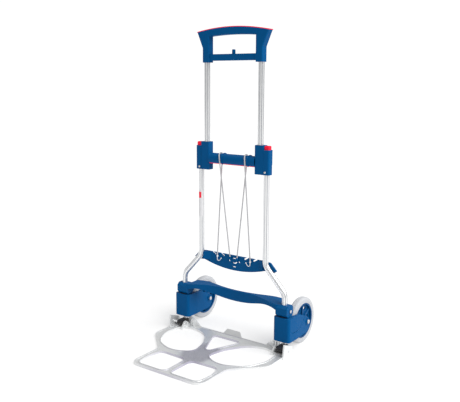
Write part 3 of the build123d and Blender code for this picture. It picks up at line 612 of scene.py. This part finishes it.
def cast_aluminium():
    """Cast plate: satin bars, a textured cross in the middle and tinted cut edges."""
    finish = settings().finishes
    material, tree, surface = shader("Cast aluminium", metallic=0.6, specular=0.25)
    texture = group_node(tree, grain_group(), Grain_Scale=650.0, Cloud_Scale=22.0)
    edges = group_node(tree, edge_group(), Width=0.0012, Amount=finish.edge_wear_and_highlight)
    place = put(tree, "ShaderNodeTexCoord")
    plate = put(tree, "ShaderNodeMapping")
    plate.inputs["Location"].default_value = (0, -CROSS_Y / CROSS_HALF_Y, 0)
    plate.inputs["Scale"].default_value = (1 / CROSS_HALF_X, 1 / CROSS_HALF_Y, 0)
    link(tree, place.outputs["Object"], plate.inputs["Vector"])
    reach = put(tree, "ShaderNodeVectorMath", operation="LENGTH")
    link(tree, plate.outputs["Vector"], reach.inputs[0])
    wobble = span(tree, texture.outputs["Cloud"], -0.25, 0.25)
    cross = math_node(tree, "SUBTRACT", 1.0,
                      ramp(tree, math_node(tree, "ADD", reach.outputs["Value"], wobble), 0.65, 1.1))
    pits = put(tree, "ShaderNodeTexVoronoi", Scale=330.0)
    link(tree, place.outputs["Object"], pits.inputs["Vector"])
    pit = ramp(tree, pits.outputs["Distance"], 0.1, 0.6)
    face = put(tree, "ShaderNodeSeparateXYZ")
    link(tree, place.outputs["Normal"], face.inputs[0])
    upright = math_node(tree, "SUBTRACT", 1.0,
                        ramp(tree, math_node(tree, "ABSOLUTE", face.outputs["Z"]), 0.25, 0.8))
    low = put(tree, "ShaderNodeSeparateXYZ")
    link(tree, place.outputs["Object"], low.inputs[0])
    cut = math_node(tree, "MULTIPLY", upright,
                    math_node(tree, "SUBTRACT", 1.0, ramp(tree, low.outputs["Z"], *CUT_EDGE_TOP)))
    cut = math_node(tree, "MULTIPLY", cut,
                    math_node(tree, "SUBTRACT", 1.0, ramp(tree, reach.outputs["Value"], 1.4, 2.8)))
    base = blend_colour(tree, texture.outputs["Cloud"], shade(finish.cast, 0.93),
                        shade(finish.cast, 1.05))
    speckle = blend_colour(tree, pit, shade(finish.cast_dark, 1.35), finish.cast_dark)
    base = blend_colour(tree, cross, base, speckle)
    base = blend_colour(tree, math_node(tree, "MULTIPLY", cut, 0.75), base, CUT_EDGE_TINT)
    base = blend_colour(tree, edges.outputs["Mask"], base, WORN_CAST)
    link(tree, base, surface.inputs["Base Color"])
    link(tree, span(tree, cross, 0.36, 0.58), surface.inputs["Roughness"])
    pitted = math_node(tree, "MULTIPLY", pit, math_node(tree, "MULTIPLY", cross, 3.0))
    relief = math_node(tree, "ADD", pitted, texture.outputs["Grain"])
    bump(tree, surface, relief, 0.00009)
    return material


def steel():
    """Turned steel with faint lines."""
    colour = settings().finishes.steel
    material, tree, surface = shader("Steel", metallic=1.0)
    lines = group_node(tree, scratch_group(), Stretch=(200.0, 1400.0, 1400.0))
    base = blend_colour(tree, lines.outputs["Smudge"], shade(colour, 0.85), shade(colour, 1.15))
    link(tree, base, surface.inputs["Base Color"])
    link(tree, span(tree, lines.outputs["Lines"], 0.18, 0.38), surface.inputs["Roughness"])
    bump(tree, surface, lines.outputs["Lines"], 0.00002)
    return material


def rubber():
    """Pale rubber with a matt grain and scuffed dust."""
    colour = settings().finishes.rubber
    material, tree, surface = shader("Rubber", specular=0.3)
    texture = group_node(tree, grain_group(), Grain_Scale=1500.0, Cloud_Scale=30.0)
    edges = group_node(tree, edge_group(), Width=0.0015, Amount=0.5)
    base = blend_colour(tree, texture.outputs["Cloud"], shade(colour, 0.9), shade(colour, 1.1))
    base = blend_colour(tree, edges.outputs["Mask"], base, shade(colour, 1.25))
    link(tree, base, surface.inputs["Base Color"])
    link(tree, span(tree, texture.outputs["Grain"], 0.6, 0.8), surface.inputs["Roughness"])
    bump(tree, surface, texture.outputs["Grain"], 0.00012)
    return material


def braided_cord():
    """Braided elastic: two sets of slanting bands that cross."""
    colour = settings().finishes.cord
    material, tree, surface = shader("Braided cord", specular=0.25)
    place = put(tree, "ShaderNodeTexCoord")
    bands = []
    for slant in (1.0, -1.0):
        lean = put(tree, "ShaderNodeMapping")
        lean.inputs["Rotation"].default_value = (0, slant * radians(38), 0)
        link(tree, place.outputs["Object"], lean.inputs["Vector"])
        wave = put(tree, "ShaderNodeTexWave", bands_direction="X", Scale=230.0, Distortion=0.6)
        link(tree, lean.outputs["Vector"], wave.inputs["Vector"])
        bands.append(wave.outputs["Fac"])
    weave = math_node(tree, "MAXIMUM", *bands)
    base = blend_colour(tree, weave, shade(colour, 0.72), colour)
    link(tree, base, surface.inputs["Base Color"])
    link(tree, span(tree, weave, 0.85, 0.65), surface.inputs["Roughness"])
    bump(tree, surface, weave, 0.0003)
    return material


def label_vinyl(name, colour):
    """Printed vinyl with a slight orange peel."""
    material, tree, surface = shader(name, specular=0.4)
    texture = group_node(tree, grain_group(), Grain_Scale=420.0, Cloud_Scale=60.0)
    edges = group_node(tree, edge_group(), Width=0.0008, Amount=0.3)
    base = blend_colour(tree, texture.outputs["Cloud"], shade(colour, 0.94), shade(colour, 1.03))
    base = blend_colour(tree, edges.outputs["Mask"], base, shade(colour, 0.8))
    link(tree, base, surface.inputs["Base Color"])
    link(tree, span(tree, texture.outputs["Cloud"], 0.3, 0.42), surface.inputs["Roughness"])
    bump(tree, surface, texture.outputs["Grain"], 0.00005)
    return material


FINISHES = {
    "Blue plastic": blue_plastic,
    "Rim plastic": rim_plastic,
    "Red plastic": red_plastic,
    "Black plastic": black_plastic,
    "Bead plastic": bead_plastic,
    "Tube aluminium": tube_aluminium,
    "Painted groove shade": groove_shade_aluminium,
    "Cast aluminium": cast_aluminium,
    "Steel": steel,
    "Rubber": rubber,
    "Braided cord": braided_cord,
}


def finish_of(name):
    """A finish by its name, made the first time that it is asked for."""
    return bpy.data.materials.get(name) or FINISHES[name]()


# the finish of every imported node, by its name or by its name without the side; those that a piece
# of this scene stands for are named too, and stay hidden
NODE_FINISHES = {
    "mid_block": "Blue plastic", "lock_housing": "Blue plastic", "cord_board": "Blue plastic",
    "cross_brace": "Blue plastic", "wheel_fork": "Blue plastic", "crossbar": "Blue plastic",
    "handle_frame": "Blue plastic", "handle_hook": "Blue plastic",
    "rim": "Rim plastic",
    "crossbar_strip": "Red plastic", "handle_grip": "Red plastic", "release_button": "Red plastic",
    "guide_bush": "Black plastic", "tube_plug": "Black plastic", "hinge_foot": "Black plastic",
    "fork_washers": "Black plastic", "fork_retainers": "Black plastic",
    "wheel_bush": "Black plastic",
    "toe_plate": "Cast aluminium",
    "lock_pin": "Steel", "collar_bolts": "Steel", "axle": "Steel", "axle_nut": "Steel",
    "foot_pin": "Steel", "hinge_pins": "Steel", "button_spring": "Steel", "block_screws": "Steel",
    "board_screws": "Steel", "handle_screws": "Steel",
    "lower_tube": "Tube aluminium", "upper_tube": "Tube aluminium",
    "tyre": "Rubber", "cord_left": "Braided cord", "cord_right": "Braided cord",
    "cord_anchors": "Braided cord",
}


# ---------------------------------------------------------------- operators
class HANDTRUCK_OT_tubes(bpy.types.Operator):
    """Build the four fluted frame tubes"""
    bl_idname = "handtruck.tubes"
    bl_label = "Fluted tubes"

    def execute(self, context):
        sizes = settings().tubes
        # one flute: share of its width, share of its depth
        flute = ((0.0, 1.0), (0.07, 0.8), (0.15, 0.0), (0.32, 0.0), (0.5, 0.0), (0.68, 0.0),
                 (0.85, 0.0), (0.93, 0.8))
        steps = [((i + share) / sizes.flutes * 2 * pi, depth)
                 for i in range(sizes.flutes) for share, depth in flute]
        ring, last = len(steps), len(flute) - 1
        # the groove faces of every flute take the darker grey finish: painted shade in the flutes
        grooves = (ring, {i for i in range(ring) if i % len(flute) in (0, 1, last - 1, last)})

        def tube(line, radius):
            outer, inner = [], []
            for p, run in line:
                across = Vector((run.z, 0, -run.x))
                wide = [(across * cos(a) + Vector((0, sin(a), 0)), depth) for a, depth in steps]
                outer.append([p + d * (radius - depth * sizes.flute_depth) for d, depth in wide])
                inner.append([p + d * (radius - sizes.wall) for d, _ in wide])
            return skin(outer + inner[::-1], loop=True)

        for side, s in SIDES:
            low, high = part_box(f"lower_tube_{side}")
            radius = high.y
            wide_x = max(abs(low.x), abs(high.x)) - radius
            narrow_x = min(abs(low.x), abs(high.x)) + radius
            route = bent_line([(s * narrow_x, 0, high.z), (s * narrow_x, 0, sizes.bend_upper),
                               (s * wide_x, 0, sizes.bend_lower), (s * wide_x, 0, low.z)],
                              sizes.bend_radius)
            piece = add_piece(f"fluted_lower_tube_{side}", [tube(route, radius)], "frame",
                              finish_of("Tube aluminium"), sharp=24.0,
                              sunk=grooves, groove_shade_finish=finish_of("Painted groove shade"))
            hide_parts(f"lower_tube_{side}")
            low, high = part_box(f"upper_tube_{side}")
            x = (low.x + high.x) / 2
            body = body_of(frame["nodes"][f"upper_tube_{side}"])[0]
            route = bent_line([(x, 0, low.z), (x, 0, high.z)], sizes.bend_radius)
            piece = add_piece(f"fluted_upper_tube_{side}", [tube(route, high.y)], body,
                              finish_of("Tube aluminium"), sharp=24.0,
                              sunk=grooves, groove_shade_finish=finish_of("Painted groove shade"))
            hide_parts(f"upper_tube_{side}")
        return {"FINISHED"}


class HANDTRUCK_OT_cords(bpy.types.Operator):
    """Lay the two elastic cords over the crossbar"""
    bl_idname = "handtruck.cords"
    bl_label = "Elastic cords"

    def execute(self, context):
        sizes = settings().cords
        for side, s in SIDES:
            outer_y = -s * CORD_BEHIND_BAR
            start = Vector((s * CORD_FOOT_INNER_X, CORD_FOOT_Y, sizes.foot_height))
            first = Vector((s * CORD_TOP_INNER_X, -outer_y, CORD_TOP_Z))
            second = Vector((s * CORD_TOP_OUTER_X, outer_y, CORD_TOP_Z))
            end = Vector((s * CORD_FOOT_OUTER_X, CORD_FOOT_Y, sizes.foot_height))
            route = [start, first + (start - first).normalized() * CORD_BELOW_BAR, first, second,
                     second + (end - second).normalized() * CORD_BELOW_BAR, end]
            curve = bpy.data.curves.new(f"elastic_cord_{side}", "CURVE")
            curve.dimensions = "3D"
            spline = curve.splines.new("NURBS")
            spline.points.add(len(route) - 1)
            for point, place in zip(spline.points, route):
                point.co = (*place, 1.0)
            spline.order_u = 3
            spline.use_endpoint_u = True
            spline.resolution_u = 24
            curve.bevel_depth = sizes.diameter / 2
            curve.bevel_resolution = 4
            curve.use_fill_caps = True
            curve.materials.append(finish_of("Braided cord"))
            piece = bpy.data.objects.new(f"elastic_cord_{side}", curve)
            context.scene.collection.objects.link(piece)
            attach(piece, "frame")
            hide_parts(f"cord_{side}")
        return {"FINISHED"}


class HANDTRUCK_OT_beads(bpy.types.Operator):
    """Build the beads, pegs and hooks that end the cords on their board"""
    bl_idname = "handtruck.beads"
    bl_label = "Cord beads and hooks"

    def execute(self, context):
        sizes = settings().cords
        peg_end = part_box("cord_anchors")[1].y - CORD_FOOT_Y
        peg = [(1.9 * MM, 0.0), (1.9 * MM, peg_end - 0.4 * MM), (1.5 * MM, peg_end)]
        r = sizes.bead_radius
        bead = [(0.1 * r, -2 * r), (0.5 * r, -1.87 * r), (0.85 * r, -1.5 * r), (r, -r),
                (0.93 * r, -0.6 * r), (0.72 * r, -0.3 * r), (0.66 * r, 0.05 * r),
                (0.66 * r, 0.45 * r), (0.55 * r, 0.52 * r)]
        beads, sleeves = [], []
        for side, s in SIDES:
            for x, width, surfaces in ((CORD_FOOT_INNER_X, 1.0, beads),
                                       (CORD_FOOT_OUTER_X, 0.68, sleeves)):
                foot = Vector((s * x, CORD_FOOT_Y, sizes.foot_height))
                surfaces.append(lathe(foot, (0, 0, 1), [(q * width, h) for q, h in bead], 28))
                surfaces.append(lathe(foot - Vector((0, 0, r)), (0, 1, 0), peg, 20))
        piece = add_piece("cord_beads", beads, "frame", finish_of("Blue plastic"))
        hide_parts("cord_anchors")
        add_piece("cord_sleeves", sleeves, "frame", finish_of("Bead plastic"))

        # each hook: a straight stem, a bend through most of a half turn and a short tip with a ball
        hooks = []
        stem_step, hook_radius, hook_turn, hook_steps = 0.0015, 0.0065, radians(150), 14
        for side, s in SIDES:
            top = Vector((s * CORD_FOOT_OUTER_X, CORD_FOOT_Y - 0.0005,
                          sizes.foot_height - 2 * r + stem_step))
            path = [top + Vector((0, 0, -stem_step * k)) for k in range(5)]
            bend = path[-1] - Vector((s * hook_radius, 0, 0))
            for k in range(1, hook_steps + 1):
                a = hook_turn * k / hook_steps
                path.append(bend + Vector((s * hook_radius * cos(a), 0, -hook_radius * sin(a))))
            run = (path[-1] - path[-2]).normalized()
            path += [path[-1] + run * 0.0018 * k for k in range(1, 6)]
            hooks.append(wire(path, sizes.hook_wire / 2))
            tip = sizes.hook_wire * 0.95
            ball = [(tip * max(0.08, sin(pi * k / 10)), -tip * cos(pi * k / 10)) for k in range(11)]
            hooks.append(lathe(path[-1], run, ball, 20))
        add_piece("cord_hooks", hooks, "frame", finish_of("Bead plastic"))
        return {"FINISHED"}


class HANDTRUCK_OT_tyres(bpy.types.Operator):
    """Build the two grooved tyres"""
    bl_idname = "handtruck.tyres"
    bl_label = "Tyres"

    def execute(self, context):
        sizes = settings().wheels
        for side, s in SIDES:
            low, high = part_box(f"tyre_{side}")
            centre, half, radius = (low + high) / 2, (high.x - low.x) / 2, (high.z - low.z) / 2
            # from the rim outwards: a shallow ring groove, then the rounded shoulder
            seat = sizes.rim_radius
            flank = [(seat, half - 0.6 * MM), (seat + 0.8 * MM, half), (seat + 3 * MM, half),
                     (seat + 3.4 * MM, half - 0.5 * MM), (seat + 5.6 * MM, half - 0.5 * MM),
                     (seat + 6 * MM, half)]
            for k in range(11):
                a = radians(90) * k / 10
                flank.append((radius - sizes.shoulder * (1 - sin(a)),
                              half - sizes.shoulder * (1 - cos(a))))
            # the middle groove is mirrored, so only its first half is made here
            tread = []
            for place in (3.6, 0.0):
                for offset, sunk in ((0.9, 0), (0.5, 1), (-0.5, 1), (-0.9, 0)):
                    tread.append((radius - sunk * sizes.groove_depth, (place + offset) * MM))
            profile = flank + tread[:6]
            mirrored = [(r, -h) for r, h in reversed(profile)]
            rubber_ring = lathe(centre, (1, 0, 0), profile + mirrored, sizes.segments, loop=True)
            piece = add_piece(f"grooved_tyre_{side}", [rubber_ring], f"wheel_{side}",
                              finish_of("Rubber"), sharp=40.0)
            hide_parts(f"tyre_{side}")
        return {"FINISHED"}


class HANDTRUCK_OT_springs(bpy.types.Operator):
    """Wind the springs under the release buttons"""
    bl_idname = "handtruck.springs"
    bl_label = "Button springs"

    def execute(self, context):
        sizes = settings().fittings
        for side, s in SIDES:
            low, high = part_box(f"button_spring_{side}")
            centre = (low + high) / 2
            coil, lift = sizes.spring_radius - sizes.spring_wire / 2, sizes.spring_wire / 2
            steps = 26 * sizes.spring_turns
            closed = 0.12
            path = []
            for k in range(steps + 1):
                a = 2 * pi * sizes.spring_turns * k / steps
                rise = min(1.0, max(0.0, (k / steps - closed) / (1 - 2 * closed)))
                path.append((centre.x + coil * cos(a), centre.y + coil * sin(a),
                             low.z + lift + rise * (high.z - low.z - 2 * lift)))
            winding = wire(path, sizes.spring_wire / 2, 10)
            piece = add_piece(f"coil_spring_{side}", [winding], "frame",
                              finish_of("Steel"))
            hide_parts(f"button_spring_{side}")
            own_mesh(piece)
        return {"FINISHED"}


class HANDTRUCK_OT_screws(bpy.types.Operator):
    """Build the screws with cross recesses"""
    bl_idname = "handtruck.screws"
    bl_label = "Screws"

    def execute(self, context):
        sizes = settings().fittings
        r, h = sizes.screw_radius, sizes.screw_height

        def recess(a):
            return r * (0.16 + 0.40 * abs(cos(2 * a)) ** 3)

        def recess_floor(a):
            return 0.8 * recess(a)

        for node, out in (("block_screws", -1), ("board_screws", 1), ("handle_screws", 1)):
            low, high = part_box(node)
            face_y = low.y + h if out < 0 else high.y - h
            x, z = high.x - r, (low.z + high.z) / 2
            length = high.y - low.y - h
            # shank, domed head and the cross recess sunk into it
            profile = [(0.3 * r, -length), (0.5 * r, -length + 0.5 * MM), (0.5 * r, 0), (r, 0),
                       (r, 0.35 * h), (0.93 * r, 0.62 * h), (0.8 * r, 0.82 * h),
                       (0.64 * r, 0.95 * h), (0.59 * r, h), (recess, h),
                       (recess_floor, 0.45 * h)]
            surfaces = [lathe((s * x, face_y, z), (0, out, 0), profile, 48) for side, s in SIDES]
            body = body_of(frame["nodes"][node])[0]
            piece = add_piece(f"cross_head_{node}", surfaces, body, finish_of("Steel"))
            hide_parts(node)
        return {"FINISHED"}


class HANDTRUCK_OT_label(bpy.types.Operator):
    """Wrap a plain label around the left lower tube"""
    bl_idname = "handtruck.label"
    bl_label = "Plain label"

    def execute(self, context):
        sizes = settings().fittings
        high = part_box("lower_tube_left")[1]
        x, radius = high.x - high.y, high.y
        film = 0.12 * MM

        def sheet_on_tube(bottom, top, start, end, lift):
            rings = []
            for k in range(25):
                a = radians(start + (end - start) * k / 24)
                out = Vector((cos(a), sin(a), 0))
                inner, outer = out * (radius + lift), out * (radius + lift + film)
                rings.append([Vector((x, 0, z)) + d for d, z in
                              ((inner, bottom), (outer, bottom), (outer, top), (inner, top))])
            return skin(rings)

        label = sheet_on_tube(sizes.label_bottom, sizes.label_top, 188, 330, 0.02 * MM)
        add_piece("plain_label", [label], "frame", label_vinyl("White vinyl", LABEL_WHITE))
        patch_top = sizes.label_top - 0.006
        patch = sheet_on_tube(patch_top - 0.022, patch_top, 235, 300, 0.16 * MM)
        add_piece("label_patch", [patch], "frame",
                  label_vinyl("Red vinyl", settings().finishes.red))
        return {"FINISHED"}


class HANDTRUCK_OT_finishes(bpy.types.Operator):
    """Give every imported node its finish"""
    bl_idname = "handtruck.finishes"
    bl_label = "Finishes"

    def execute(self, context):
        for name, node in frame["nodes"].items():
            stem = name.removesuffix("_left").removesuffix("_right")
            finish = NODE_FINISHES.get(name) or NODE_FINISHES.get(stem)
            if finish is None:
                raise RuntimeError(f"no finish is named for {name}")
            if not node.material_slots:
                node.data.materials.append(None)
            for slot in node.material_slots:
                slot.material = finish_of(finish)
        return {"FINISHED"}


class HANDTRUCK_OT_stage(bpy.types.Operator):
    """Set up the floor, the soft lights and the camera"""
    bl_idname = "handtruck.stage"
    bl_label = "Studio"

    def execute(self, context):
        stage = settings().stage
        scene = context.scene
        bm = bmesh.new()
        bmesh.ops.create_grid(bm, x_segments=12, y_segments=12, size=stage.floor_half)
        mesh = bpy.data.meshes.new("studio_floor")
        bm.to_mesh(mesh)
        bm.free()
        floor = bpy.data.objects.new("studio_floor", mesh)
        scene.collection.objects.link(floor)
        material, tree, surface = shader("Studio floor", specular=0.1)
        texture = group_node(tree, grain_group(), Grain_Scale=60.0, Cloud_Scale=1.5)
        colour = stage.floor_colour
        base = blend_colour(tree, texture.outputs["Cloud"], shade(colour, 0.99),
                            shade(colour, 1.01))
        link(tree, base, surface.inputs["Base Color"])
        link(tree, span(tree, texture.outputs["Grain"], 0.8, 0.9), surface.inputs["Roughness"])
        surface.inputs["Emission Color"].default_value = WHITE_LIGHT
        surface.inputs["Emission Strength"].default_value = stage.glow
        mesh.materials.append(material)

        world = bpy.data.worlds.new("Studio world")
        world.use_nodes = True
        scene.world = world
        air = world.node_tree
        sky = air.nodes["Background"]
        sky.inputs["Color"].default_value = WHITE_LIGHT
        sky.inputs["Strength"].default_value = stage.ambient
        backdrop = put(air, "ShaderNodeBackground", Color=WHITE_LIGHT, Strength=BACKDROP_STRENGTH)
        path = put(air, "ShaderNodeLightPath")
        choose = put(air, "ShaderNodeMixShader")
        link(air, path.outputs["Is Camera Ray"], choose.inputs[0])
        link(air, sky.outputs[0], choose.inputs[1])
        link(air, backdrop.outputs[0], choose.inputs[2])
        link(air, choose.outputs[0], air.nodes["World Output"].inputs["Surface"])

        lamp = bpy.data.lights.new("key_light", "SUN")
        lamp.energy = stage.key
        lamp.angle = stage.softness
        light = bpy.data.objects.new("key_light", lamp)
        light.rotation_euler = Vector(SUN_FROM).to_track_quat("Z", "Y").to_euler()
        scene.collection.objects.link(light)

        azimuth, elevation = radians(CAMERA_AZIMUTH), radians(CAMERA_ELEVATION)
        roll = radians(CAMERA_ROLL)
        back = Vector((sin(azimuth) * cos(elevation), -cos(azimuth) * cos(elevation),
                       sin(elevation)))
        level = Vector((cos(azimuth), sin(azimuth), 0))
        upright = back.cross(level)
        right = level * cos(roll) + upright * sin(roll)
        up = upright * cos(roll) - level * sin(roll)
        lens = bpy.data.cameras.new("studio_camera")
        lens.lens = CAMERA_LENS
        lens.sensor_width = CAMERA_SENSOR
        lens.shift_x, lens.shift_y = CAMERA_SHIFT
        lens.clip_end = 50.0
        camera = bpy.data.objects.new("studio_camera", lens)
        place = Vector(CAMERA_AIM) + back * CAMERA_DISTANCE
        camera.matrix_world = Matrix((
            (right.x, up.x, back.x, place.x),
            (right.y, up.y, back.y, place.y),
            (right.z, up.z, back.z, place.z),
            (0, 0, 0, 1)))
        scene.collection.objects.link(camera)
        scene.camera = camera
        scene.view_settings.view_transform = "Standard"
        scene.view_settings.look = "None"
        return {"FINISHED"}


class HANDTRUCK_PT_panel(bpy.types.Panel):
    """Lists the pieces of the hand truck"""
    bl_idname = "HANDTRUCK_PT_panel"
    bl_label = "Hand Truck"
    bl_space_type = "VIEW_3D"
    bl_region_type = "UI"
    bl_category = "Hand Truck"

    def draw(self, context):
        sizes = context.scene.hand_truck
        for group, operators in GROUPS:
            box = self.layout.box()
            values = getattr(sizes, group)
            for key in values.__annotations__:
                box.prop(values, key)
            for operator in operators:
                box.operator(operator.bl_idname)


GROUPS = (
    ("tubes", (HANDTRUCK_OT_tubes,)),
    ("cords", (HANDTRUCK_OT_cords, HANDTRUCK_OT_beads)),
    ("wheels", (HANDTRUCK_OT_tyres,)),
    ("fittings", (HANDTRUCK_OT_springs, HANDTRUCK_OT_screws, HANDTRUCK_OT_label)),
    ("finishes", (HANDTRUCK_OT_finishes,)),
    ("stage", (HANDTRUCK_OT_stage,)),
)

CLASSES = (
    HANDTRUCK_tubes, HANDTRUCK_cords, HANDTRUCK_wheels, HANDTRUCK_fittings, HANDTRUCK_finishes,
    HANDTRUCK_stage, HANDTRUCK_settings,
    HANDTRUCK_OT_tubes, HANDTRUCK_OT_cords, HANDTRUCK_OT_beads, HANDTRUCK_OT_tyres,
    HANDTRUCK_OT_springs, HANDTRUCK_OT_screws, HANDTRUCK_OT_label, HANDTRUCK_OT_finishes,
    HANDTRUCK_OT_stage, HANDTRUCK_PT_panel,
)


def register():
    """Registers the classes and the scene's settings."""
    for cls in CLASSES:
        bpy.utils.register_class(cls)
    bpy.types.Scene.hand_truck = bpy.props.PointerProperty(
        type=HANDTRUCK_settings, name="Hand truck",
        description="Sizes and colours of the hand truck")


def unregister():
    """Takes the settings and the classes away again."""
    del bpy.types.Scene.hand_truck
    for cls in reversed(CLASSES):
        bpy.utils.unregister_class(cls)


def main():
    """Builds every piece in order."""
    register()
    for group, operators in GROUPS:
        for operator in operators:
            area, action = operator.bl_idname.split(".")
            getattr(getattr(bpy.ops, area), action)()


if __name__ == "__main__":
    main()
